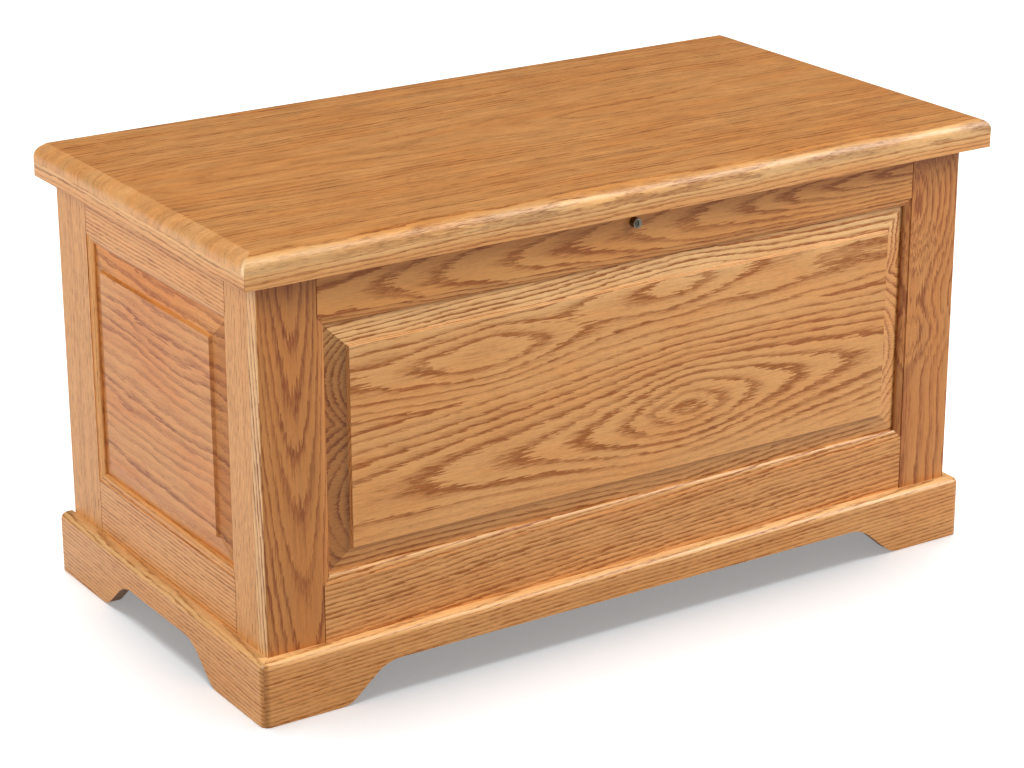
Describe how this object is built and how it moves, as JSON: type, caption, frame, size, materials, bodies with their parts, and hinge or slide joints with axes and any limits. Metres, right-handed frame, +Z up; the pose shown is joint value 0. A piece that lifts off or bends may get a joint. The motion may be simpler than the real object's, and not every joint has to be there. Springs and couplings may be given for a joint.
{
  "type": "blanket chest",
  "caption": "Oak blanket chest with framed raised panels, a lid with a bevelled edge on back hinges, an arched plinth, a push-button lock and a lid stay.",
  "frame": {"origin": "bottom centre of the bounding box: on the floor, midway between the left and right ends of the lid, and midway between the front edge of the lid and the back of the hinge barrels", "axes": "+X to the right seen from the front, +Y to the back, where the hinges are, +Z up"},
  "size_m": [0.963, 0.5018, 0.5168],
  "materials": {
    "oak": "satin lacquer",
    "plain_wood": "bare",
    "hardware_steel": "satin",
    "lock_nickel": "polished"
  },
  "bodies": {
    "chest": {"front_left_stile": "oak", "front_right_stile": "oak", "front_top_rail": "oak", "front_bottom_rail": "oak", "front_panel": "oak", "left_side_front_stile": "oak", "left_side_back_stile": "oak", "left_side_top_rail": "oak", "left_side_bottom_rail": "oak", "left_side_panel": "oak", "right_side_front_stile": "oak", "right_side_back_stile": "oak", "right_side_top_rail": "oak", "right_side_bottom_rail": "oak", "right_side_panel": "oak", "back_right_stile": "oak", "back_left_stile": "oak", "back_top_rail": "oak", "back_bottom_rail": "oak", "plinth_front_board": "oak", "plinth_left_board": "oak", "plinth_right_board": "oak", "back_panel": "plain_wood", "floor_panel": "plain_wood", "floor_cleat_front": "plain_wood", "floor_cleat_back": "plain_wood", "floor_cleat_left": "plain_wood", "floor_cleat_right": "plain_wood", "plinth_back_board": "plain_wood", "corner_block_front_left": "plain_wood", "corner_block_back_left": "plain_wood", "corner_block_front_right": "plain_wood", "corner_block_back_right": "plain_wood", "left_hinge_body_leaf": "hardware_steel", "left_hinge_pin": "hardware_steel", "right_hinge_body_leaf": "hardware_steel", "right_hinge_pin": "hardware_steel", "stay_wall_pin": "hardware_steel", "lock_case": "hardware_steel"},
    "lid": {"lid_board_1": "oak", "lid_board_2": "oak", "lid_board_3": "oak", "lid_board_4": "oak", "lid_board_5": "oak", "lid_strip_front": "oak", "lid_strip_back": "oak", "lid_strip_left": "oak", "lid_strip_right": "oak", "left_hinge_lid_leaf": "hardware_steel", "right_hinge_lid_leaf": "hardware_steel", "stay_lid_bracket": "hardware_steel", "stay_pivot_rivet": "hardware_steel", "lock_strike": "hardware_steel"},
    "stay_arm": {"stay_arm": "hardware_steel"},
    "plunger": {"lock_plunger": "lock_nickel"},
    "key_plug": {"lock_key_plug": "lock_nickel"},
    "bolt": {"lock_bolt": "hardware_steel"}
  },
  "joints": [
    {"name": "lid_hinge", "type": "hinge", "parent": "chest", "child": "lid", "pos_m": [0, 0.2474, 0.48165], "axis": [-1, 0, 0], "range_deg": [0, 95]},
    {"name": "stay_pivot", "type": "hinge", "parent": "lid", "child": "stay_arm", "pos_m": [-0.4335, 0.1474, 0.48165], "axis": [-1, 0, 0], "range_deg": [-47.5, 0]},
    {"name": "plunger_slide", "type": "slide", "parent": "chest", "child": "plunger", "axis": [0, 1, 0], "range_m": [0, 0.007], "stiffness_N_per_m": 250, "springref_m": -0.003},
    {"name": "key_turn", "type": "hinge", "parent": "plunger", "child": "key_plug", "pos_m": [0, -0.2344, 0.467], "axis": [0, 1, 0], "range_deg": [0, 90]},
    {"name": "bolt_slide", "type": "slide", "parent": "chest", "child": "bolt", "axis": [0, 0, 1], "range_m": [0, 0.008]}
  ],
  "couplings": [
    {"joint": "stay_pivot", "follows": "lid_hinge", "ratio": -0.5},
    {"joint": "bolt_slide", "follows": "plunger_slide", "ratio": 1.1429}
  ]
}
